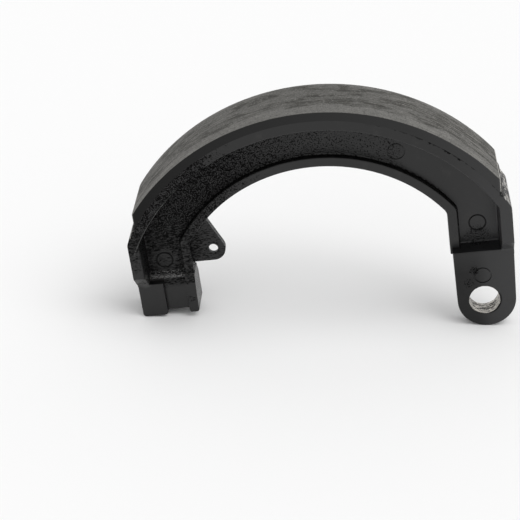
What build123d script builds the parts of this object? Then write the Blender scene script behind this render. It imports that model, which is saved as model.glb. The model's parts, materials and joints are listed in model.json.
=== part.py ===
from build123d import *
from math import asin, atan2, degrees, hypot, radians, tan
import os

# Brake shoe for a 150 mm drum, 24 mm wide: a die-cast shoe and the friction lining bonded to it.
# It is drawn in the shoe's own plane, with the drum's axis at the origin, X towards the pivot,
# Y up the shoe's centre line and Z across its width. Side A is +Z. At the end it is turned to
# stand on its two ends, with the origin in the middle of the pivot bore and Z up. All in mm.

# Lining
drum_radius = 75.0
lining_thickness = 3.0
lining_width = 24.0
lining_half_chord = 59.7
lining_corner_radius = 1.2

# Platform that carries the lining, with its straight sides down to the two ends
platform_width = 23.6
platform_thickness = 3.9
side_wall_left = 4.1
side_wall_right = 4.4
side_left = -63.0
side_right = 62.75
shoulder_radius = 4.0
pocket_corner_radius = 2.0
platform_edge_radius = 0.5

# Web and inner rib
web_thickness = 3.4
rib_inner_radius = 52.65
rib_thickness = 3.4
rib_width = 8.2
rib_edge_radius = 0.5
rib_right = 42.1
web_root_radius = 0.5
draft_angle = 2.0

# Pivot eye, lapped so that two shoes share one pin
pivot_distance = 51.95
bore_radius = 5.1
eye_x = 52.7
eye_y = -0.3
eye_radius = 9.7
eye_front = 7.45
eye_thickness = 6.5
eye_edge_radius = 0.4
arm_left = 42.75
arm_wall_a = 18.2
arm_wall_b = 19.8
arm_wall_draft = 8.0
lap_step = 16.3

# Cam-end block, with the groove that takes the wear clip
cam_face = 4.65
block_half_width = 6.75
block_top = 16.8
toe_top = 18.0
toe_right = -43.75
toe_half_width = 6.4
toe_taper_start = 10.6
toe_top_half_width = 4.1
toe_rear = -5.9
toe_rear_taper_start = 14.2
toe_top_rear = -3.4
groove_left = -54.4
groove_right = -47.1
groove_half_width = 5.0
groove_end_depth = 1.25
groove_top = 14.5
ledge_foot = 16.7
ledge_front = 17.8
ledge_top = 18.1
ledge_half_width = 3.3
ledge_lip_radius = 0.45
rib_gap_top = 19.2
rib_gap_depth = 2.0
block_corner_radius = 1.2
toe_corner_radius = 0.9
block_edge_radius = 0.4

# Spring tab
tab_thickness = 2.4
tab_radius = 4.1
tab_hole_radius = 1.6
tab_hole_chamfer = 0.5
tab_hole_x = -36.5
tab_hole_y = 25.2
tab_root_x = -37.6
tab_root_y = 36.8

# Run-outs, where the platform's width falls away at 45 degrees to the ends
run_out_b_arm = 18.0
run_out_b_cam = 20.8
run_out_blend = 2.0

# Ejector pin marks
mark_radius = 2.95
mark_line = 0.45
mark_depth = 0.35
mark_arm = (51.7, 26.1)
mark_cam = (-53.3, 23.1)
mark_high_arm = (27.5, 54.4)
mark_high_cam = (-27.4, 56.2)
mark_eye = (pivot_distance, 9.3)

# How far a cut or an overlap runs past the faces it meets
margin = 1.0

platform_radius = drum_radius - lining_thickness
rib_outer_radius = rib_inner_radius + rib_thickness
arch_left = toe_right
arch_right = rib_right
eye_rear = eye_front - eye_thickness
half_platform = platform_width / 2
half_web = web_thickness / 2
half_rib = rib_width / 2
below_ends = cam_face - lap_step


def block(x0, x1, y0, y1, z0, z1):
    """A plain block between two corners."""
    return Pos((x0 + x1) / 2, (y0 + y1) / 2, (z0 + z1) / 2) * Box(x1 - x0, y1 - y0, z1 - z0)


def arch(radius, left, right, low, corner=0.0):
    """A disc clipped by two straight sides and a level foot: the outline that the shoe repeats."""
    clip = Pos((left + right) / 2, (low + radius) / 2) * Rectangle(right - left, radius - low)
    outline = Circle(radius) & clip
    if corner:
        shoulders = outline.vertices().filter_by(lambda v: v.Y > low + margin)
        outline = fillet(shoulders, corner)
    return outline


def make_lining():
    """Friction strip: a slice of a ring whose ends are cut parallel to the centre line."""
    ring = Circle(drum_radius) - Circle(platform_radius)
    strip = Pos(0, drum_radius / 2) * Rectangle(2 * lining_half_chord, drum_radius)
    lining = extrude(ring & strip, lining_width / 2, both=True)
    corners = lining.edges().filter_by(GeomType.LINE).filter_by(
        lambda e: abs(abs(e.center().X) - lining_half_chord) < 0.01
        and abs(abs(e.center().Z) - lining_width / 2) < 0.01
    )
    return fillet(corners, lining_corner_radius)


def make_platform():
    """Outer flange with straight sides, hollowed from both faces with draft."""
    outer = arch(platform_radius, side_left, side_right, lap_step, shoulder_radius)
    flange = extrude(outer, half_platform, both=True)
    inner = arch(
        platform_radius - platform_thickness,
        side_left + side_wall_left,
        side_right - side_wall_right,
        below_ends,
        pocket_corner_radius,
    )
    core = extrude(inner, half_platform + margin, taper=-draft_angle)
    return flange - core - mirror(core, Plane.XY)


def make_web():
    """Thin web across the arch."""
    outline = arch(platform_radius - margin, side_left + margin, side_right - margin, lap_step)
    return extrude(outline, half_web, both=True)


def make_rib():
    """Inner rib, which follows the arch and runs straight down beside both ends."""
    outline = arch(
        rib_outer_radius,
        arch_left - rib_thickness,
        arch_right + rib_thickness,
        lap_step,
        shoulder_radius,
    )
    upper = extrude(outline, half_rib, taper=draft_angle)
    return upper + mirror(upper, Plane.XY)


def column(x0, x1, outline):
    """A prism along X, from its outline in the Y-Z plane."""
    return extrude(Plane.YZ.offset(x0) * outline, x1 - x0)


def make_pivot_eye():
    """Lapped eye on side A, and the lip that ends the pocket on side B."""
    eye = Pos(eye_x, eye_y) * Circle(eye_radius)
    head = Line((arm_left, arm_wall_a), (side_right, arm_wall_a))
    arm = Pos(0, 0, eye_rear) * extrude(make_hull(eye.edges() + head.edges()), eye_thickness)
    lip = block(arch_right, side_right, lap_step, arm_wall_b, -half_rib, half_web)
    rise = (eye_front - half_web) * tan(radians(arm_wall_draft))
    wall = Polyline(
        (lap_step, -half_rib),
        (lap_step, eye_front),
        (arm_wall_a, eye_front),
        (arm_wall_a + rise, half_web),
        (arm_wall_a + rise, -half_rib),
        close=True,
    )
    return arm + lip + column(arm_left, side_right, make_face(wall))


def both_sides(points):
    """A face from the outline of its upper half, mirrored about the mid-plane."""
    half = make_face(Polyline(*points, close=True))
    return half + mirror(half, Plane.XZ)


def stub(x0, x1, top, half_width, corner):
    """One of the two blocks of the cam end, with the corners of its end face rounded."""
    outline = Pos((x0 + x1) / 2, (cam_face + top) / 2) * Rectangle(x1 - x0, top - cam_face)
    foot = outline.vertices().group_by(Axis.Y)[0]
    return extrude(fillet(foot, corner), half_width, both=True)


def ledge_outline(low, points_below):
    """Section through the cam end: what lies below the web, then the ledge with its round lip."""
    outline = both_sides(
        [(low, 0)]
        + points_below
        + [(ledge_front, ledge_half_width), (ledge_top, half_web), (ledge_top, 0)]
    )
    lips = outline.vertices().filter_by(lambda v: abs(v.X - ledge_front) < 0.01)
    return fillet(lips, ledge_lip_radius)


def make_cam_end():
    """Heel, clip groove and toe, side by side, with a rough ledge where the web ends."""
    groove_low = cam_face + groove_end_depth
    groove = ledge_outline(
        groove_low,
        [
            (groove_low, groove_half_width),
            (groove_top, groove_half_width),
            (ledge_foot, ledge_half_width),
        ],
    )
    ledge = ledge_outline(groove_low, [(groove_low, ledge_half_width)])
    toe = Polyline(
        (cam_face, toe_half_width),
        (toe_taper_start, toe_half_width),
        (toe_top, toe_top_half_width),
        (toe_top, toe_top_rear),
        (toe_rear_taper_start, toe_rear),
        (cam_face, toe_rear),
        close=True,
    )
    solid = stub(side_left, groove_left, block_top, block_half_width, block_corner_radius)
    blunt_toe = stub(groove_right, arch_left, toe_top, toe_half_width, toe_corner_radius)
    solid += blunt_toe & column(groove_right, arch_left, make_face(toe))
    solid += column(groove_left - margin, groove_right + margin, groove)
    solid += column(side_left + margin, groove_left, ledge)
    return solid


def make_tab():
    """Return-spring tab: a tip round the hole, drawn back to the rib and the cam end."""
    tip = Pos(tab_hole_x, tab_hole_y) * Circle(tab_radius)
    low = tab_hole_y - tab_radius
    buried = arch_left - margin
    root = Polyline((buried, low), (buried, tab_root_y), (tab_root_x, tab_root_y))
    outline = make_hull(tip.edges() + root.edges())
    tab = extrude(outline, tab_thickness / 2, both=True)
    rim_radius = tab_hole_radius + tab_hole_chamfer
    flare = Pos(0, 0, (tab_thickness - tab_hole_chamfer) / 2) * Cone(
        tab_hole_radius, rim_radius, tab_hole_chamfer
    )
    hole = Cylinder(tab_hole_radius, tab_thickness + margin) + flare + mirror(flare, Plane.XY)
    return tab, Pos(tab_hole_x, tab_hole_y) * hole


def run_out(x0, x1, y_foot, z_foot):
    """What is cut away beyond an end of the platform on side A: level, then up at 45 degrees."""
    z_top = half_platform + margin
    reach = z_top - z_foot
    edge = Polyline(
        (below_ends, z_foot),
        (y_foot, z_foot),
        (y_foot + reach, z_top),
        (below_ends, z_top),
        close=True,
    )
    outline = make_face(edge)
    foot = outline.vertices().sort_by_distance((y_foot, z_foot))[0]
    return column(x0, x1, fillet(foot, run_out_blend))


def make_mark(place, face):
    """Witness line round an ejector pin, on a face at this height on side A."""
    ring = Circle(mark_radius) - Circle(mark_radius - mark_line)
    return Pos(*place, face) * extrude(ring, mark_depth, both=True)


def rim(shape, height, low=below_ends, clear_of_legs=False):
    """The edges that lie level on one face of the shoe, apart from where the platform runs out."""
    level = shape.edges().filter_by(
        lambda e: abs(e.bounding_box().min.Z - height) < 0.02
        and abs(e.bounding_box().max.Z - height) < 0.02
    )
    span = level.filter_by(lambda e: e.center().Y > low)
    if not clear_of_legs:
        return span
    inset = side_wall_right + platform_edge_radius
    return span.filter_by(
        lambda e: e.center().Y < lap_step - margin
        or side_left + inset < e.center().X < side_right - inset
    )


def is_outermost(edge):
    """Whether an edge runs along the outside of the platform, where the lining is bonded."""
    middle = edge @ 0.5
    return (
        hypot(middle.X, middle.Y) > platform_radius - margin
        or middle.X < side_left + margin
        or middle.X > side_right - margin
    )


def rib_gap():
    """Notch between the end of the rib and the toe, on side A."""
    foot = arch_left - rib_thickness - margin
    return block(foot, arch_left, toe_top, rib_gap_top, half_rib - rib_gap_depth, half_rib)


def join_casting():
    """The shoe with sharp edges: its members joined, then what is open cut away."""
    shoe = make_platform() + make_web() + make_rib() + make_pivot_eye() + make_cam_end()
    opening = arch(rib_inner_radius, arch_left, arch_right, below_ends, shoulder_radius)
    shoe -= extrude(opening, platform_width, both=True)
    for cut in (
        run_out(arch_right, side_right + margin, arm_wall_a, eye_front),
        run_out(side_left - margin, arch_left, block_top, block_half_width),
        mirror(run_out(arch_right, side_right + margin, run_out_b_arm, half_rib), Plane.XY),
        mirror(run_out(side_left - margin, arch_left, run_out_b_cam, block_half_width), Plane.XY),
        rib_gap(),
        mirror(rib_gap(), Plane.XY),
    ):
        shoe -= cut
    return shoe


def make_casting():
    """The whole die-cast shoe, in its drawing plane."""
    shoe = join_casting()
    for height in (half_web, -half_web):
        shoe = fillet(rim(shoe, height, low=ledge_top + ledge_lip_radius), web_root_radius)
    for height in (half_platform, -half_platform):
        inner = rim(shoe, height).filter_by(GeomType.LINE, reverse=True)
        inner = inner.filter_by(is_outermost, reverse=True)
        shoe = fillet(inner, platform_edge_radius)
    for height in (half_rib, -half_rib):
        shoe = fillet(rim(shoe, height, low=arm_wall_b + margin), rib_edge_radius)
    for height in (eye_front, eye_rear):
        shoe = fillet(rim(shoe, height, clear_of_legs=True), eye_edge_radius)
    for height in (block_half_width, -block_half_width, toe_half_width, toe_rear):
        shoe = fillet(rim(shoe, height, clear_of_legs=True), block_edge_radius)

    tab, hole = make_tab()
    shoe = shoe + tab - hole
    bore = Circle(bore_radius)
    shoe -= Pos(pivot_distance, 0, 0) * extrude(bore, platform_width, both=True)
    for place in (mark_arm, mark_cam, mark_high_arm, mark_high_cam):
        shoe -= make_mark(place, half_web)
    return shoe - make_mark(mark_eye, eye_front)


def stand(shape):
    """Turn from the drawing plane to standing on the eye and the heel, pivot bore at the origin."""
    heel_x = side_left + block_corner_radius
    heel_y = cam_face + block_corner_radius
    run, rise = eye_x - heel_x, heel_y - eye_y
    lean = asin((eye_radius - block_corner_radius) / hypot(run, rise)) + atan2(rise, run)
    centred = Pos(-pivot_distance, 0, -(eye_front + eye_rear) / 2) * shape
    return Rot(0, -degrees(lean), 0) * Rot(90, 0, 0) * centred


os.makedirs("parts", exist_ok=True)
export_step(stand(make_casting()), "parts/shoe_casting.step")
export_step(stand(make_lining()), "parts/friction_lining.step")
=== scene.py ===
import json
import math

import bmesh
import bpy
from mathutils import Matrix, Vector, noise


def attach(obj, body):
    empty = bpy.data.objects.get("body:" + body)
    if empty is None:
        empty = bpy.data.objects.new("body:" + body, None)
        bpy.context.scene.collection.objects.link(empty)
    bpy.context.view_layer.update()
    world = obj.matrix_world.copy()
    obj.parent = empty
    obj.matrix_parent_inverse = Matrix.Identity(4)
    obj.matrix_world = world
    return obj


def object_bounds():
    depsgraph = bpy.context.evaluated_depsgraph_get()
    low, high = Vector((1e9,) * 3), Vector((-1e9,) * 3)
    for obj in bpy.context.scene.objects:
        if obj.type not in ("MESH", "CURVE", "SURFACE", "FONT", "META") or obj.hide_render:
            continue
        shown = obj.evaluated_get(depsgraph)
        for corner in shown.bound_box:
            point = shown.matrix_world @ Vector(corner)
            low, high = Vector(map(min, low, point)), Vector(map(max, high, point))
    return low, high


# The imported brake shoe. Its two mounts on the pivot and on the drum's axis give the lean at which
# the shoe stands, so every pattern below can follow the drum's own circle.
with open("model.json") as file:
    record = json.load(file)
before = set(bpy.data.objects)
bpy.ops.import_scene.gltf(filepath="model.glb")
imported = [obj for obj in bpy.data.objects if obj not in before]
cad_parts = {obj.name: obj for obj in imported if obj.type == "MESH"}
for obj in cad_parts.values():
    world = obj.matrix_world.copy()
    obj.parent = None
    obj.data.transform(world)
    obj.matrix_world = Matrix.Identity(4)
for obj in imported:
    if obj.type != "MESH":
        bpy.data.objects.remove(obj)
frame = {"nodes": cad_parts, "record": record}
cad_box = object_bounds()
mounts = {mount["name"]: mount for mount in frame["record"]["mounts"]}
drum_axis = Vector(mounts["drum_contact"]["pos_m"])
pivot_distance = drum_axis.xz.length
lean = math.atan2(-drum_axis.z, -drum_axis.x)
mid_width = drum_axis.y


# Black-coated die casting: aluminium alloy from a steel die, then a thin black paint. The paint is
# satin where the die was smooth. Where the metal chilled against the die, from the cam end to past
# mid-arch, the surface is pebbled and its pits stay matt. The bore is cut after painting.
coat_black = "#060606"
coat_dust = "#1C1B1A"
# painted light: a lighter coat tone that brightens the pivot end
coat_painted_light = "#242425"
# painted light: a pale tone for painted highlights and reflections
coat_painted_highlight = "#6A6A69"
bore_metal = "#DAD6CF"
bore_scuffed = "#24221F"
ground_end = "#C4C1BB"
satin_roughness = 0.36
pit_roughness = 0.8
pit_specular = 0.08
pit_softness = 0.15
bore_roughness = 0.4
ground_roughness = 0.7

# sizes and depths of the patterns in metres, then how two of them are weighed
pebble_size = 0.00045
wrinkle_length = 0.0012
wrinkle_size = 0.00033
grain_depth = 0.0005
blotch_size = 0.0030
wave_size = 0.005
wave_depth = 0.0004
turning_run = 1 / 120
turning_pitch = 0.00035
pin_scuff_length = 0.0014
pin_scuff_width = 0.0005
scuff_size = 1 / 1100
cut_depth = 0.0002
residue_length = 0.0060
residue_size = 0.0008
scuff_weight = 0.6
crumb_softness = 0.06

# places and lengths on the casting, from the drum's axis and mid-width
rib_inner_radius = 0.0524
platform_radius = 0.072
platform_side = 0.0626
bared_past = 0.0596
block_top = 0.0182
cam_face = -0.0438
heel_edge = -0.0545
lip_foot = 0.0167
lip_half_width = 0.0040
arm_step = 0.0181
leg_top = 0.0290
ejector_marks = ((0.0517, -0.0017, 0.0261), (-0.0533, -0.0017, 0.0231))
mark_groove_radius = 0.00272
trim_nicks = (
    (0.0386, -0.0118, 0.0606),
    (0.0432, -0.0118, 0.0575),
    (0.0443, -0.0118, 0.0567),
    (0.0473, -0.0118, 0.0541),
)
nick_radius = 0.0004
nick_ragged = 0.0008
bite_depth = 0.0015
# the run-out facet by the heel, lightened with a painted reflection of the floor
lit_facet_centre = (-0.0604, -0.0095, 0.0186)

# rough patches: the centre, the reach and the share of grain in the middle
rough_patches = (
    ((0.0515, -0.0016, 0.0212), 0.0062, 0.66),
    ((0.0265, -0.0016, 0.0546), 0.0050, 0.62),
    ((0.0493, -0.0074, 0.0112), 0.0026, 0.90),
    ((0.0472, -0.0074, 0.0066), 0.0030, 0.72),
    ((-0.0456, -0.0064, 0.0099), 0.0020, 0.70),
)
lip_strength = 0.68
cam_strength = 0.3
# painted edge highlights: the radius, where along the shoe the highlight starts and is full, and
# its strength
rim_edge = (0.06860, -0.043, -0.049, 0.60)
rib_edge = (0.05265, -0.034, -0.039, 0.50)
edge_reach = 0.00030
edge_core = 0.00008

# the bore, and the side on which its mouth gets a painted shade
bore_radius = mounts["pivot_bore"]["dims"]["r_mm"] / 1000
shaded_mouth_side = (0.94, 0, -0.34)


def linear(hex_colour):
    """An sRGB hex colour as linear RGBA."""
    values = [int(hex_colour[i : i + 2], 16) / 255 for i in (1, 3, 5)]
    return [v / 12.92 if v <= 0.04045 else ((v + 0.055) / 1.055) ** 2.4 for v in values] + [1.0]


def add(tree, kind, inputs=None, **settings):
    """A node with its settings; each input is a value or the output it is linked from."""
    made = tree.nodes.new(kind)
    for name, value in settings.items():
        setattr(made, name, value)
    for name, value in (inputs or {}).items():
        if isinstance(value, bpy.types.NodeSocket):
            tree.links.new(value, made.inputs[name])
        else:
            made.inputs[name].default_value = value
    return made


def blank_material(name):
    """An empty node material and its node tree."""
    material = bpy.data.materials.new(name)
    material.use_nodes = True
    material.node_tree.nodes.clear()
    return material, material.node_tree


def drum_coordinates(tree):
    """Position turned to the drum (X to the pivot, Y from mid-width, Z up), X, Y, Z and radius."""
    place = add(tree, "ShaderNodeTexCoord").outputs["Object"]
    turned = add(
        tree,
        "ShaderNodeMapping",
        {"Vector": place, "Location": (pivot_distance, -mid_width, 0), "Rotation": (0, lean, 0)},
    ).outputs[0]
    parts = add(tree, "ShaderNodeSeparateXYZ", {"Vector": turned}).outputs
    level = add(
        tree, "ShaderNodeVectorMath", {0: turned, 1: (1, 0, 1)}, operation="MULTIPLY"
    ).outputs[0]
    radius = add(tree, "ShaderNodeVectorMath", {0: level}, operation="LENGTH").outputs["Value"]
    return turned, parts["X"], parts["Y"], parts["Z"], radius


casting_material, coat = blank_material("black_coated_die_casting")
turned, along, across, up, radius = drum_coordinates(coat)
off_middle = add(coat, "ShaderNodeMath", {0: across}, operation="ABSOLUTE").outputs[0]
from_top = add(coat, "ShaderNodeMath", {0: along}, operation="ABSOLUTE").outputs[0]
# distance to the facet by the heel that gets the painted floor reflection
from_lit_facet = add(
    coat, "ShaderNodeVectorMath", {0: turned, 1: lit_facet_centre}, operation="DISTANCE"
).outputs["Value"]

# how far it is from the pin's axis, and how far that goes to the side with the painted shade
place = add(coat, "ShaderNodeTexCoord").outputs["Object"]
level = add(coat, "ShaderNodeVectorMath", {0: place, 1: (1, 0, 1)}, operation="MULTIPLY").outputs[0]
from_pin = add(coat, "ShaderNodeVectorMath", {0: level}, operation="LENGTH").outputs["Value"]
to_shaded_mouth_side = add(
    coat, "ShaderNodeVectorMath", {0: place, 1: shaded_mouth_side}, operation="DOT_PRODUCT"
).outputs["Value"]

# how far it is to the nearest ejector mark and to the nearest nick
to_nearest = []
for centres in (ejector_marks, trim_nicks):
    gaps = [
        add(coat, "ShaderNodeVectorMath", {0: turned, 1: centre}, operation="DISTANCE")
        for centre in centres
    ]
    nearest = gaps[0].outputs["Value"]
    for gap in gaps[1:]:
        nearest = add(
            coat, "ShaderNodeMath", {0: nearest, 1: gap.outputs["Value"]}, operation="MINIMUM"
        ).outputs[0]
    to_nearest.append(nearest)
to_mark, to_nick = to_nearest
off_groove = add(
    coat, "ShaderNodeMath", {0: to_mark, 1: mark_groove_radius}, operation="SUBTRACT"
).outputs[0]
off_groove = add(coat, "ShaderNodeMath", {0: off_groove}, operation="ABSOLUTE").outputs[0]

# pebbles for the arch, level wrinkles for the cam-end leg, and two broad noises
from_pebble = add(
    coat,
    "ShaderNodeTexVoronoi",
    {"Vector": turned, "Scale": 1 / pebble_size, "Randomness": 0.9},
).outputs["Distance"]
pebble = add(
    coat,
    "ShaderNodeMapRange",
    {"Value": from_pebble, "From Min": 0.1, "From Max": 0.9, "To Min": 0.7, "To Max": 0.3},
    clamp=False,
).outputs[0]
wrinkle_place = add(
    coat,
    "ShaderNodeMapping",
    {"Vector": turned, "Scale": (1 / wrinkle_length, 1 / wrinkle_size, 1 / wrinkle_size)},
).outputs[0]
wrinkle = add(
    coat,
    "ShaderNodeTexNoise",
    {"Vector": wrinkle_place, "Scale": 1.0, "Detail": 2.0, "Distortion": 0.8},
).outputs["Fac"]
blotches = add(
    coat,
    "ShaderNodeTexNoise",
    {"Vector": turned, "Scale": 1 / blotch_size, "Detail": 3.0, "Roughness": 0.6},
).outputs["Fac"]
waviness = add(
    coat,
    "ShaderNodeTexNoise",
    {"Vector": turned, "Scale": 1 / wave_size, "Detail": 5.0, "Roughness": 0.6},
).outputs["Fac"]

# Shares of the finish. Each grows or fades over one measure: where that starts, where it is full
# (metres, or a level of the noise), the share at both, and how it changes between them.
share = {}
for name, measure, start, full, low, high, change in (
    # grain over the web, the rib and the platform's rim
    ("web_fine", along, 0.034, 0.025, 0.0, 0.59, "SMOOTHSTEP"),
    ("web_coarse", along, 0.025, -0.040, 0.0, 0.41, "SMOOTHSTEP"),
    ("leg", up, 0.042, 0.028, 0.0, 1.0, "SMOOTHSTEP"),
    ("rib", along, 0.004, -0.036, 0.0, 0.88, "SMOOTHSTEP"),
    ("rim", along, -0.012, -0.042, 0.0, 1.0, "SMOOTHSTEP"),
    ("rim_blotches", blotches, 0.38, 0.56, 0.8, 1.2, "LINEAR"),
    ("rim_height", up, 0.022, 0.034, 0.35, 1.0, "LINEAR"),
    ("on_rib", off_middle, 0.0024, 0.0032, 0.0, 1.0, "LINEAR"),
    ("on_rim", off_middle, 0.0085, 0.0105, 0.0, 1.0, "LINEAR"),
    # where it is calmer: the blocks, the tab's tip and the ejector marks' faces
    ("above_block", up, block_top - 0.0012, block_top, 0.0, 1.0, "LINEAR"),
    ("tab_tip", along, -0.0435, -0.0375, 1.0, 0.72, "LINEAR"),
    ("off_mark", to_mark, 0.0032, 0.0052, 0.66, 1.0, "LINEAR"),
    # the lip of the ledge over the cam block, with painted highlights on its lumps, and the rough
    # skin that runs on under it
    ("lip_foot", up, lip_foot, lip_foot + 0.0005, 0.0, 1.0, "LINEAR"),
    ("lip_top", up, 0.0194, 0.0186, 0.0, 1.0, "LINEAR"),
    ("lip_lump_highlights", pebble, 0.40, 0.52, 0.0, 1.0, "LINEAR"),
    ("under_lip", up, 0.0140, 0.0153, 0.0, 0.9, "LINEAR"),
    # the hollows: painted shade in the marks' grooves, the nicks' ragged outlines and the bites in
    # the bond line
    ("outside_groove_shade", off_groove, 0.00012, 0.00034, 0.3, 1.0, "LINEAR"),
    ("ragged", pebble, 0.0, 1.0, -nick_ragged, nick_ragged, "LINEAR"),
    ("bites", blotches, 0.0, 1.0, -bite_depth, bite_depth, "LINEAR"),
    ("bitten_part", along, 0.018, 0.026, 0.0, 0.6, "LINEAR"),
    # the duller inner side of the eye, and painted shade at the mouth of its bore
    ("eye_inner", along, 0.0545, 0.0490, 0.0, 0.38, "SMOOTHSTEP"),
    ("eye_height", up, 0.0165, 0.0105, 0.4, 1.0, "LINEAR"),
    ("mouth_shade_part", to_shaded_mouth_side, 0.0032, 0.0046, 0.0, 0.85, "LINEAR"),
    ("mouth", from_pin, bore_radius + 0.0008, bore_radius + 0.0004, 0.0, 1.0, "LINEAR"),
    # painted light (the height of the edge highlights, a lift on the cam face, the floor's
    # reflection on the facet by the heel, a lighter pivot end) and dust
    ("edge_height", up, leg_top, 0.0350, 0.0, 1.0, "LINEAR"),
    ("cam_painted_lift", blotches, 0.36, 0.62, 0.0, 0.5, "LINEAR"),
    ("facet_painted_reflection", from_lit_facet, 0.0042, 0.0024, 0.0, 0.45, "LINEAR"),
    # painted light: the casting gets lighter towards the pivot end
    ("pivot_end_painted_light", along, 0.040, 0.064, 0.0, 1.0, "SMOOTHSTEP"),
    ("dust", waviness, 0.55, 0.8, 0.0, 1.0, "SMOOTHSTEP"),
    # the bared platform past the lining
    ("bared_height", up, leg_top, 0.0345, 0.0, 1.0, "LINEAR"),
    ("crumb_level", along, -0.05, 0.05, 0.84, 0.79, "LINEAR"),
    ("crumb_patches", waviness, 0.38, 0.50, 0.2, 1.0, "LINEAR"),
):
    share[name] = add(
        coat,
        "ShaderNodeMapRange",
        {"Value": measure, "From Min": start, "From Max": full, "To Min": low, "To Max": high},
        interpolation_type=change,
    ).outputs[0]

# Zones of the casting, each on one side of a sharp border.
zone = {}
for name, measure, side, border in (
    ("arch_hollow", radius, "LESS_THAN", rib_inner_radius),
    ("beside_leg", along, "GREATER_THAN", cam_face),
    ("leg", along, "LESS_THAN", cam_face),
    ("lip_width", off_middle, "LESS_THAN", lip_half_width),
    ("beside_heel", along, "GREATER_THAN", heel_edge),
    ("cam_half", along, "LESS_THAN", 0.0),
    ("pivot_half", along, "GREATER_THAN", 0.0),
    ("below_arm", up, "LESS_THAN", arm_step),
    ("bore", from_pin, "LESS_THAN", bore_radius + 0.00005),
    ("past_lining", from_top, "GREATER_THAN", bared_past),
    ("outer_face", radius, "GREATER_THAN", platform_radius - 0.0001),
    ("side_face", along, "GREATER_THAN", platform_side),
):
    zone[name] = add(coat, "ShaderNodeMath", {0: measure, 1: border}, operation=side).outputs[0]

# grain on the web, the rib and the rim, with less of it on the blocks, the tab and the marks
web_grain = add(
    coat, "ShaderNodeMath", {0: share["web_fine"], 1: share["web_coarse"]}, operation="ADD"
).outputs[0]
leg_calm = add(
    coat, "ShaderNodeMapRange", {"Value": share["leg"], "To Min": 1.0, "To Max": 0.97}
).outputs[0]
web_grain = add(
    coat, "ShaderNodeMath", {0: web_grain, 1: leg_calm}, operation="MULTIPLY"
).outputs[0]
rim_grain = share["rim"]
for factor in (share["rim_blotches"], share["rim_height"]):
    rim_grain = add(
        coat, "ShaderNodeMath", {0: rim_grain, 1: factor}, operation="MULTIPLY"
    ).outputs[0]
grain = add(
    coat, "ShaderNodeMix", {0: share["on_rib"], 2: web_grain, 3: share["rib"]}
).outputs[0]
grain = add(coat, "ShaderNodeMix", {0: share["on_rim"], 2: grain, 3: rim_grain}).outputs[0]
on_tab = add(
    coat, "ShaderNodeMath", {0: zone["arch_hollow"], 1: zone["beside_leg"]}, operation="MULTIPLY"
).outputs[0]
tab_calm = add(coat, "ShaderNodeMix", {0: on_tab, 2: 1.0, 3: share["tab_tip"]}).outputs[0]
for factor in (share["above_block"], tab_calm, share["off_mark"]):
    grain = add(coat, "ShaderNodeMath", {0: grain, 1: factor}, operation="MULTIPLY").outputs[0]

# rough spots of their own: the patches, the ledge's lip, the skin under it, and the cam's worn face
rough_spots = []
for centre, reach, strength in rough_patches:
    from_patch = add(
        coat, "ShaderNodeVectorMath", {0: turned, 1: centre}, operation="DISTANCE"
    ).outputs["Value"]
    patch_grain = add(
        coat,
        "ShaderNodeMapRange",
        {"Value": from_patch, "From Min": reach, "From Max": reach * 0.4, "To Max": strength},
        interpolation_type="SMOOTHSTEP",
    ).outputs[0]
    rough_spots.append(patch_grain)
lip = share["lip_foot"]
for factor in (share["lip_top"], zone["leg"], zone["lip_width"]):
    lip = add(coat, "ShaderNodeMath", {0: lip, 1: factor}, operation="MULTIPLY").outputs[0]
lip_grain = add(coat, "ShaderNodeMath", {0: lip, 1: lip_strength}, operation="MULTIPLY").outputs[0]
off_lip = add(coat, "ShaderNodeMath", {0: 1.0, 1: lip}, operation="SUBTRACT").outputs[0]
on_toe = zone["beside_heel"]
for factor in (zone["leg"], share["lip_top"], off_lip):
    on_toe = add(coat, "ShaderNodeMath", {0: on_toe, 1: factor}, operation="MULTIPLY").outputs[0]
toe_grain = add(
    coat, "ShaderNodeMath", {0: share["under_lip"], 1: on_toe}, operation="MULTIPLY"
).outputs[0]
in_block = add(
    coat, "ShaderNodeMath", {0: 1.0, 1: share["above_block"]}, operation="SUBTRACT"
).outputs[0]
on_cam = zone["beside_leg"]
for factor in (in_block, zone["cam_half"]):
    on_cam = add(coat, "ShaderNodeMath", {0: on_cam, 1: factor}, operation="MULTIPLY").outputs[0]
cam_grain = add(
    coat, "ShaderNodeMath", {0: on_cam, 1: cam_strength}, operation="MULTIPLY"
).outputs[0]
rough_spots += [lip_grain, toe_grain, cam_grain]
for spot in rough_spots:
    grain = add(coat, "ShaderNodeMath", {0: grain, 1: spot}, operation="MAXIMUM").outputs[0]

# the more grain there is, the higher the level under which the texture is a matt pit
wrinkle_share = add(
    coat, "ShaderNodeMapRange", {"Value": share["leg"], "To Min": 0.25, "To Max": 0.95}
).outputs[0]
wrinkle_share = add(
    coat, "ShaderNodeMath", {0: wrinkle_share, 1: zone["cam_half"]}, operation="MULTIPLY"
).outputs[0]
texture = add(coat, "ShaderNodeMix", {0: wrinkle_share, 2: pebble, 3: wrinkle}).outputs[0]
pit_level = add(
    coat, "ShaderNodeMapRange", {"Value": grain, "To Min": 0.11, "To Max": 0.46}
).outputs[0]
pit_edge = add(coat, "ShaderNodeMath", {0: pit_level, 1: pit_softness}, operation="ADD").outputs[0]
crest = add(
    coat,
    "ShaderNodeMapRange",
    {"Value": texture, "From Min": pit_level, "From Max": pit_edge},
    interpolation_type="SMOOTHSTEP",
).outputs[0]
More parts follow.
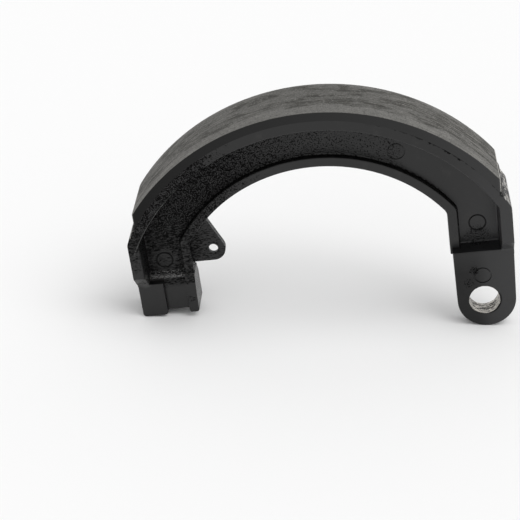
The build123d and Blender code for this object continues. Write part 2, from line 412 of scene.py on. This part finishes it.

# dark too: painted shade in the marks' grooves, then the nicks, the bitten bond line and the eye's
# inner side
off_nick = add(coat, "ShaderNodeMath", {0: to_nick, 1: share["ragged"]}, operation="ADD").outputs[0]
above_nick = add(
    coat,
    "ShaderNodeMapRange",
    {"Value": off_nick, "From Min": nick_radius, "From Max": nick_radius + 0.0003},
).outputs[0]
to_bond = add(coat, "ShaderNodeMath", {0: radius, 1: share["bites"]}, operation="ADD").outputs[0]
bitten = add(
    coat,
    "ShaderNodeMapRange",
    {"Value": to_bond, "From Min": platform_radius - 0.0003, "From Max": platform_radius},
).outputs[0]
bitten = add(
    coat, "ShaderNodeMath", {0: bitten, 1: share["bitten_part"]}, operation="MULTIPLY"
).outputs[0]
unbitten = add(coat, "ShaderNodeMath", {0: 1.0, 1: bitten}, operation="SUBTRACT").outputs[0]
dull = share["eye_inner"]
for factor in (share["eye_height"], zone["below_arm"], zone["pivot_half"]):
    dull = add(coat, "ShaderNodeMath", {0: dull, 1: factor}, operation="MULTIPLY").outputs[0]
glossy = add(coat, "ShaderNodeMath", {0: 1.0, 1: dull}, operation="SUBTRACT").outputs[0]
for factor in (share["outside_groove_shade"], above_nick, unbitten, glossy):
    crest = add(coat, "ShaderNodeMath", {0: crest, 1: factor}, operation="MULTIPLY").outputs[0]

# painted highlights on two fillets by the cam end: the platform's inner edge, and the rib's where
# the tab starts
painted_edge_highlight = 0.0
for (edge_radius, edge_from, edge_full, highlight_strength), on_face in (
    (rim_edge, share["on_rim"]),
    (rib_edge, share["on_rib"]),
):
    off_edge = add(
        coat, "ShaderNodeMath", {0: radius, 1: edge_radius}, operation="SUBTRACT"
    ).outputs[0]
    off_edge = add(coat, "ShaderNodeMath", {0: off_edge}, operation="ABSOLUTE").outputs[0]
    on_edge = add(
        coat,
        "ShaderNodeMapRange",
        {"Value": off_edge, "From Min": edge_reach, "From Max": edge_core, "To Max": highlight_strength},
    ).outputs[0]
    edge_part = add(
        coat,
        "ShaderNodeMapRange",
        {"Value": along, "From Min": edge_from, "From Max": edge_full},
    ).outputs[0]
    for factor in (edge_part, on_face, share["edge_height"]):
        on_edge = add(
            coat, "ShaderNodeMath", {0: on_edge, 1: factor}, operation="MULTIPLY"
        ).outputs[0]
    painted_edge_highlight = add(
        coat, "ShaderNodeMath", {0: painted_edge_highlight, 1: on_edge}, operation="MAXIMUM"
    ).outputs[0]
crest = add(coat, "ShaderNodeMath", {0: crest, 1: painted_edge_highlight}, operation="MAXIMUM").outputs[0]

# painted shade round one side of the bore's mouth: the satin paint turns to the matt pit finish
# there
mouth_shade = add(
    coat, "ShaderNodeMath", {0: share["mouth"], 1: share["mouth_shade_part"]}, operation="MULTIPLY"
).outputs[0]
outside_mouth_shade = add(coat, "ShaderNodeMath", {0: 1.0, 1: mouth_shade}, operation="SUBTRACT").outputs[0]
crest = add(coat, "ShaderNodeMath", {0: crest, 1: outside_mouth_shade}, operation="MULTIPLY").outputs[0]

# the paint: satin on the crests and matt in the pits, with dust, a lighter pivot end and pale
# painted highlights and reflections over it
painted_highlight = add(
    coat, "ShaderNodeMath", {0: lip, 1: share["lip_lump_highlights"]}, operation="MULTIPLY"
).outputs[0]
# painted light: a blotchy lift on the cam face standing in for its grazing reflection
cam_painted_lift = add(
    coat, "ShaderNodeMath", {0: on_cam, 1: share["cam_painted_lift"]}, operation="MULTIPLY"
).outputs[0]
for painted_lift in (cam_painted_lift, share["facet_painted_reflection"]):
    painted_highlight = add(coat, "ShaderNodeMath", {0: painted_highlight, 1: painted_lift}, operation="ADD").outputs[0]
painted_highlight = add(coat, "ShaderNodeMath", {0: painted_highlight, 1: painted_edge_highlight}, operation="MAXIMUM").outputs[0]
coat_colour = linear(coat_black)
for covered, tone in (
    (share["pivot_end_painted_light"], coat_painted_light),
    (share["dust"], coat_dust),
    (painted_highlight, coat_painted_highlight),
):
    coat_colour = add(
        coat, "ShaderNodeMix", {0: covered, 6: coat_colour, 7: linear(tone)}, data_type="RGBA"
    ).outputs[2]
grain_height = add(coat, "ShaderNodeMath", {0: texture, 1: grain}, operation="MULTIPLY").outputs[0]
relief = add(
    coat, "ShaderNodeBump", {"Height": grain_height, "Strength": 0.9, "Distance": grain_depth}
).outputs[0]
relief = add(
    coat,
    "ShaderNodeBump",
    {"Height": waviness, "Strength": 0.2, "Distance": wave_depth, "Normal": relief},
).outputs[0]
satin = add(
    coat,
    "ShaderNodeBsdfPrincipled",
    {"Base Color": coat_colour, "Roughness": satin_roughness, "Normal": relief},
).outputs[0]
pit = add(
    coat,
    "ShaderNodeBsdfPrincipled",
    {
        "Base Color": linear(coat_black),
        "Roughness": pit_roughness,
        "Specular IOR Level": pit_specular,
        "Normal": relief,
    },
).outputs[0]
painted = add(coat, "ShaderNodeMixShader", {0: crest, 1: pit, 2: satin}).outputs[0]

# the bore's wall: turned in fine rings, then scuffed by the pin
turning = add(
    coat,
    "ShaderNodeMapping",
    {"Vector": place, "Scale": (1 / turning_run, 1 / turning_pitch, 1 / turning_run)},
).outputs[0]
rings = add(
    coat,
    "ShaderNodeTexNoise",
    {"Vector": turning, "Scale": 1.0, "Detail": 4.0, "Roughness": 0.7},
).outputs["Fac"]
pin_place = add(
    coat,
    "ShaderNodeMapping",
    {"Vector": place, "Scale": (1 / pin_scuff_length, 1 / pin_scuff_width, 1 / pin_scuff_length)},
).outputs[0]
pin_scuffs = add(
    coat,
    "ShaderNodeTexNoise",
    {"Vector": pin_place, "Scale": 1.0, "Detail": 4.0, "Roughness": 0.7, "Distortion": 0.6},
).outputs["Fac"]
cut = add(coat, "ShaderNodeMath", {0: rings, 1: pin_scuffs}, operation="ADD").outputs[0]
bare_share = add(
    coat, "ShaderNodeMapRange", {"Value": cut, "From Min": 0.96, "From Max": 1.02}
).outputs[0]
bore_colour = add(
    coat,
    "ShaderNodeMix",
    {0: bare_share, 6: linear(bore_scuffed), 7: linear(bore_metal)},
    data_type="RGBA",
).outputs[2]
cut_relief = add(
    coat, "ShaderNodeBump", {"Height": cut, "Strength": 0.9, "Distance": cut_depth}
).outputs[0]
bare = add(
    coat,
    "ShaderNodeBsdfPrincipled",
    {
        "Base Color": bore_colour,
        "Metallic": 1.0,
        "Roughness": bore_roughness,
        "Normal": cut_relief,
    },
).outputs[0]

# the platform past the lining's two ends, ground bare with the lining in streaks across the width
residue_place = add(
    coat,
    "ShaderNodeMapping",
    {"Vector": turned, "Scale": (1 / residue_size, 1 / residue_length, 1 / residue_size)},
).outputs[0]
residue = add(
    coat,
    "ShaderNodeTexNoise",
    {"Vector": residue_place, "Scale": 1.0, "Detail": 3.0, "Roughness": 0.6},
).outputs["Fac"]
scuffs = add(
    coat,
    "ShaderNodeTexNoise",
    {"Vector": place, "Scale": 1 / scuff_size, "Detail": 4.0, "Roughness": 0.7},
).outputs["Fac"]
chips = add(
    coat, "ShaderNodeMath", {0: scuffs, 1: scuff_weight, 2: residue}, operation="MULTIPLY_ADD"
).outputs[0]
crumb_edge = add(
    coat, "ShaderNodeMath", {0: share["crumb_level"], 1: crumb_softness}, operation="ADD"
).outputs[0]
crumbs = add(
    coat,
    "ShaderNodeMapRange",
    {"Value": chips, "From Min": share["crumb_level"], "From Max": crumb_edge},
).outputs[0]
side_face = add(
    coat, "ShaderNodeMath", {0: zone["side_face"], 1: share["bared_height"]}, operation="MULTIPLY"
).outputs[0]
ground_bare = add(
    coat, "ShaderNodeMath", {0: zone["outer_face"], 1: side_face}, operation="MAXIMUM"
).outputs[0]
for factor in (zone["past_lining"], crumbs, share["crumb_patches"]):
    ground_bare = add(
        coat, "ShaderNodeMath", {0: ground_bare, 1: factor}, operation="MULTIPLY"
    ).outputs[0]
ground_metal = add(
    coat,
    "ShaderNodeBsdfPrincipled",
    {"Base Color": linear(ground_end), "Roughness": ground_roughness, "Normal": cut_relief},
).outputs[0]
surface = add(coat, "ShaderNodeMixShader", {0: zone["bore"], 1: painted, 2: bare}).outputs[0]
surface = add(
    coat, "ShaderNodeMixShader", {0: ground_bare, 1: surface, 2: ground_metal}
).outputs[0]
add(coat, "ShaderNodeOutputMaterial", {"Surface": surface})

casting = frame["nodes"]["shoe_casting"]
casting.data.materials[0] = casting_material


# Friction lining: a moulded strip of resin, fibre and filler, bonded on and then ground round.
# Its sides carry the casting's black paint. Grinding has bared a grey working face with fine
# lines round the drum's circle, darker patches and specks of filler.
lining_grey = "#565552"
lining_dark = "#32312D"
lining_pale = "#85837F"
lining_cut_highlight = "#BDBBB6"
lining_margin = "#666562"
lining_roughness = 0.75
lining_specular = 0.35
side_specular = 0.12
lining_radius = 0.075
lining_half_length = 0.0595
clean_centre = 0.0022
margin_from = 0.0072
margin_full = 0.0096
margin_waver = 0.006
margin_strength = 0.85
patch_length = 0.010
patch_width = 0.004
worn_softness = 0.14
streak_length = 0.009
streak_width = 0.0006
speck_size = 0.00055
grit_depth = 0.0001

lining_material, face = blank_material("ground_friction_lining")
turned, along, across, up, radius = drum_coordinates(face)
from_top = add(face, "ShaderNodeMath", {0: along}, operation="ABSOLUTE").outputs[0]

# the working face unrolled, so that patches and streaks run round the drum
angle = add(face, "ShaderNodeMath", {0: up, 1: along}, operation="ARCTAN2").outputs[0]
arc = add(face, "ShaderNodeMath", {0: angle, 1: lining_radius}, operation="MULTIPLY").outputs[0]
unrolled = add(face, "ShaderNodeCombineXYZ", {"X": arc, "Y": across, "Z": radius}).outputs[0]
patch_place = add(
    face,
    "ShaderNodeMapping",
    {"Vector": unrolled, "Scale": (1 / patch_length, 1 / patch_width, 1 / patch_width)},
).outputs[0]
patches = add(
    face,
    "ShaderNodeTexNoise",
    {"Vector": patch_place, "Scale": 1.0, "Detail": 6.0, "Roughness": 0.65, "Distortion": 0.4},
).outputs["Fac"]
streak_place = add(
    face,
    "ShaderNodeMapping",
    {"Vector": unrolled, "Scale": (1 / streak_length, 1 / streak_width, 1 / streak_width)},
).outputs[0]
streaks = add(
    face,
    "ShaderNodeTexNoise",
    {"Vector": streak_place, "Scale": 1.0, "Detail": 3.0, "Roughness": 0.6},
).outputs["Fac"]
specks = add(
    face,
    "ShaderNodeTexNoise",
    {"Vector": unrolled, "Scale": 1 / speck_size, "Detail": 3.0, "Roughness": 0.7},
).outputs["Fac"]

# shares of its finish, listed as the casting's are; it is more worn and streaked to its two ends
share = {}
for name, measure, start, full, low, high in (
    ("ground", radius, lining_radius - 0.00014, lining_radius - 0.00005, 0.0, 1.0),
    ("waver", patches, 0.0, 1.0, -margin_waver / 2, margin_waver / 2),
    ("worn_level", from_top, 0.01, 0.06, 0.38, 0.47),
    ("streaks", streaks, 0.48, 0.66, 0.0, 1.0),
    ("streak_reach", from_top, 0.01, 0.045, 0.2, 0.85),
    ("dark_specks", specks, 0.46, 0.36, 0.0, 0.75),
    ("pale_specks", specks, 0.58, 0.68, 0.0, 0.7),
    # painted highlight on the cut ends, broken up by specks
    ("cut_highlight", specks, 0.38, 0.58, 0.3, 0.9),
    ("side_sheen", along, -0.058, 0.048, 0.30, 1.0),
    # painted light: the sides lighten towards the pivot
    ("pivot_side_painted_light", along, 0.034, 0.060, 0.0, 0.55),
):
    share[name] = add(
        face,
        "ShaderNodeMapRange",
        {"Value": measure, "From Min": start, "From Max": full, "To Min": low, "To Max": high},
    ).outputs[0]
worn_edge = add(
    face, "ShaderNodeMath", {0: share["worn_level"], 1: worn_softness}, operation="ADD"
).outputs[0]
unworn = add(
    face,
    "ShaderNodeMapRange",
    {"Value": patches, "From Min": share["worn_level"], "From Max": worn_edge},
    interpolation_type="SMOOTHSTEP",
).outputs[0]
streaked = add(
    face, "ShaderNodeMath", {0: share["streaks"], 1: share["streak_reach"]}, operation="MULTIPLY"
).outputs[0]

# along both edges runs a paler, cleaner margin, wider on side A, with a wavering inner border
off_centre = add(
    face, "ShaderNodeMath", {0: across, 1: clean_centre}, operation="SUBTRACT"
).outputs[0]
off_centre = add(face, "ShaderNodeMath", {0: off_centre}, operation="ABSOLUTE").outputs[0]
wavered = add(
    face, "ShaderNodeMath", {0: off_centre, 1: share["waver"]}, operation="ADD"
).outputs[0]
margin = add(
    face,
    "ShaderNodeMapRange",
    {"Value": wavered, "From Min": margin_from, "From Max": margin_full},
    interpolation_type="SMOOTHSTEP",
).outputs[0]
margin = add(
    face, "ShaderNodeMath", {0: margin, 1: margin_strength}, operation="MULTIPLY"
).outputs[0]

# the two cut ends are bare as well, and paler with a painted highlight
cut_end = add(
    face, "ShaderNodeMath", {0: from_top, 1: lining_half_length}, operation="GREATER_THAN"
).outputs[0]
ground = add(
    face, "ShaderNodeMath", {0: share["ground"], 1: cut_end}, operation="MAXIMUM"
).outputs[0]
cut_highlight_share = add(
    face, "ShaderNodeMath", {0: cut_end, 1: share["cut_highlight"]}, operation="MULTIPLY"
).outputs[0]
colour = linear(lining_dark)
for covered, tone in (
    (unworn, lining_grey),
    (margin, lining_margin),
    (streaked, lining_pale),
    (share["dark_specks"], lining_dark),
    (share["pale_specks"], lining_pale),
    (cut_highlight_share, lining_cut_highlight),
):
    colour = add(
        face, "ShaderNodeMix", {0: covered, 6: colour, 7: linear(tone)}, data_type="RGBA"
    ).outputs[2]
grit = add(face, "ShaderNodeMath", {0: streaks, 1: specks}, operation="ADD").outputs[0]
relief = add(
    face, "ShaderNodeBump", {"Height": grit, "Strength": 0.5, "Distance": grit_depth}
).outputs[0]
bared = add(
    face,
    "ShaderNodeBsdfPrincipled",
    {
        "Base Color": colour,
        "Roughness": lining_roughness,
        "Specular IOR Level": lining_specular,
        "Normal": relief,
    },
).outputs[0]

# the painted sides: duller towards the cam end, and lighter towards the pivot with painted light
side_colour = add(
    face,
    "ShaderNodeMix",
    {0: share["pivot_side_painted_light"], 6: linear(coat_black), 7: linear(coat_painted_light)},
    data_type="RGBA",
).outputs[2]
side_satin = add(
    face,
    "ShaderNodeBsdfPrincipled",
    {"Base Color": side_colour, "Roughness": satin_roughness},
).outputs[0]
side_matt = add(
    face,
    "ShaderNodeBsdfPrincipled",
    {
        "Base Color": linear(coat_black),
        "Roughness": pit_roughness,
        "Specular IOR Level": side_specular,
    },
).outputs[0]
side = add(
    face, "ShaderNodeMixShader", {0: share["side_sheen"], 1: side_matt, 2: side_satin}
).outputs[0]
surface = add(face, "ShaderNodeMixShader", {0: ground, 1: side, 2: bared}).outputs[0]
add(face, "ShaderNodeOutputMaterial", {"Surface": surface})

lining = frame["nodes"]["friction_lining"]
lining.data.materials[0] = lining_material


# Bond line: adhesive film squeezed out at the lining's two ends when it was pressed on and cured.
# Each bead fills the corner between the lining's end and the platform, lumpy and pale where it
# was rubbed. It is swept across the width and thickened by a fixed noise.
film_pale = "#8E8B86"
film_dark = "#1A1917"
film_roughness = 0.6
film_lump_size = 0.0009
film_lump_depth = 0.0004
film_end = 0.0597
film_reach = 0.0021
film_height = 0.0014
film_half_width = 0.0117
film_root = (0.0003, 0.0005)
film_steps = 150
film_sides = 12
swell_length = 0.0035
lump_length = 0.0012
least_swell = 0.35

film_material, film = blank_material("cured_bonding_film")
film_place = add(film, "ShaderNodeTexCoord").outputs["Object"]
film_lumps = add(
    film,
    "ShaderNodeTexNoise",
    {"Vector": film_place, "Scale": 1 / film_lump_size, "Detail": 4.0, "Roughness": 0.65},
).outputs["Fac"]
film_rubbed = add(
    film, "ShaderNodeMapRange", {"Value": film_lumps, "From Min": 0.57, "From Max": 0.64}
).outputs[0]
film_colour = add(
    film,
    "ShaderNodeMix",
    {0: film_rubbed, 6: linear(film_dark), 7: linear(film_pale)},
    data_type="RGBA",
).outputs[2]
film_relief = add(
    film,
    "ShaderNodeBump",
    {"Height": film_lumps, "Strength": 0.7, "Distance": film_lump_depth},
).outputs[0]
film_surface = add(
    film,
    "ShaderNodeBsdfPrincipled",
    {"Base Color": film_colour, "Roughness": film_roughness, "Normal": film_relief},
).outputs[0]
add(film, "ShaderNodeOutputMaterial", {"Surface": film_surface})

to_drum = Matrix.Translation((pivot_distance, -mid_width, 0)) @ Matrix.Rotation(lean, 4, "Y")
from_drum = to_drum.inverted()
bm = bmesh.new()
for end in (-1, 1):
    foot = Vector((end * film_end, 0, math.sqrt(platform_radius**2 - film_end**2)))
    down = Vector((end * foot.z, 0, -film_end)).normalized()
    rings = []
    for step in range(film_steps + 1):
        across = film_half_width * (2 * step / film_steps - 1)
        swell = 0.8 + 0.7 * noise.noise(Vector((end * 7, across / swell_length, 0)))
        ring = []
        for turn in range(film_sides):
            part = turn / (film_sides - 1)
            lump = 1 + 0.45 * noise.noise(Vector((part * 2, across / lump_length, end * 3)))
            size = max(least_swell, swell) * lump
            lift = film_height * size * math.cos(part * math.pi / 2)
            reach = film_reach * size * math.sin(part * math.pi / 2)
            ring.append(foot + Vector((0, across, lift)) + down * reach)
        ring.append(foot + Vector((-end * film_root[0], across, -film_root[1])))
        rings.append([bm.verts.new(from_drum @ point) for point in ring])
    for near, far in zip(rings, rings[1:]):
        for a in range(len(near)):
            b = (a + 1) % len(near)
            bm.faces.new((near[a], near[b], far[b], far[a]))
    bm.faces.new(rings[0])
    bm.faces.new(rings[-1])
bmesh.ops.recalc_face_normals(bm, faces=bm.faces)
film_mesh = bpy.data.meshes.new("bonding_film")
bm.to_mesh(film_mesh)
bm.free()
film_mesh.shade_smooth()
film_piece = bpy.data.objects.new("bonding_film", film_mesh)
film_piece.data.materials.append(film_material)
bpy.context.scene.collection.objects.link(film_piece)
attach(film_piece, "root")


# Studio: a pale matt floor under the shoe's two feet, one wide soft light overhead, leaning to the
# pivot's side, and a white room around it.
floor_white = "#F2F2F2"
floor_half = 4.0
floor_roughness = 0.9
floor_specular = 0.1
key_softness = 50
key_strength = 1.3
key_from = (0.55, -0.25, 1.0)
room_white = "#FFFFFF"
room_strength = 0.75

bm = bmesh.new()
bmesh.ops.create_grid(bm, x_segments=8, y_segments=8, size=floor_half)
bmesh.ops.translate(bm, vec=(0, 0, cad_box[0].z), verts=bm.verts)
floor_mesh = bpy.data.meshes.new("studio_floor")
bm.to_mesh(floor_mesh)
bm.free()
floor = bpy.data.objects.new("studio_floor", floor_mesh)
bpy.context.scene.collection.objects.link(floor)
floor_material, floor_tree = blank_material("matt_floor_card")
card = add(
    floor_tree,
    "ShaderNodeBsdfPrincipled",
    {
        "Base Color": linear(floor_white),
        "Roughness": floor_roughness,
        "Specular IOR Level": floor_specular,
    },
).outputs[0]
add(floor_tree, "ShaderNodeOutputMaterial", {"Surface": card})
floor.data.materials.append(floor_material)

key = bpy.data.lights.new("key_canopy", "SUN")
key.angle = math.radians(key_softness)
key.energy = key_strength
key_lamp = bpy.data.objects.new("key_canopy", key)
key_lamp.rotation_euler = Vector(key_from).to_track_quat("Z", "Y").to_euler()
bpy.context.scene.collection.objects.link(key_lamp)

room = bpy.data.worlds.new("white_room")
room.use_nodes = True
room.node_tree.nodes["Background"].inputs["Color"].default_value = linear(room_white)
room.node_tree.nodes["Background"].inputs["Strength"].default_value = room_strength
bpy.context.scene.world = room
bpy.context.scene.view_settings.view_transform = "Standard"

# Camera: a long lens half a metre away, looking down a little under 28 degrees at side A.
camera_place = Vector((-0.04990, -0.47163, 0.26125))
camera_right = Vector((0.99868, 0.05120, -0.00411))
camera_up = Vector((-0.02030, 0.46708, 0.88398))
focal_px = 1600.0
image_px = 520.0
sensor_mm = 36.0
camera_data = bpy.data.cameras.new("camera")
camera_data.sensor_width = sensor_mm
camera_data.lens = focal_px / image_px * sensor_mm
camera = bpy.data.objects.new("camera", camera_data)
back = camera_right.cross(camera_up)
camera.matrix_world = Matrix.Translation(camera_place) @ Matrix(
    (camera_right, camera_up, back)
).transposed().to_4x4()
bpy.context.scene.collection.objects.link(camera)
bpy.context.scene.camera = camera
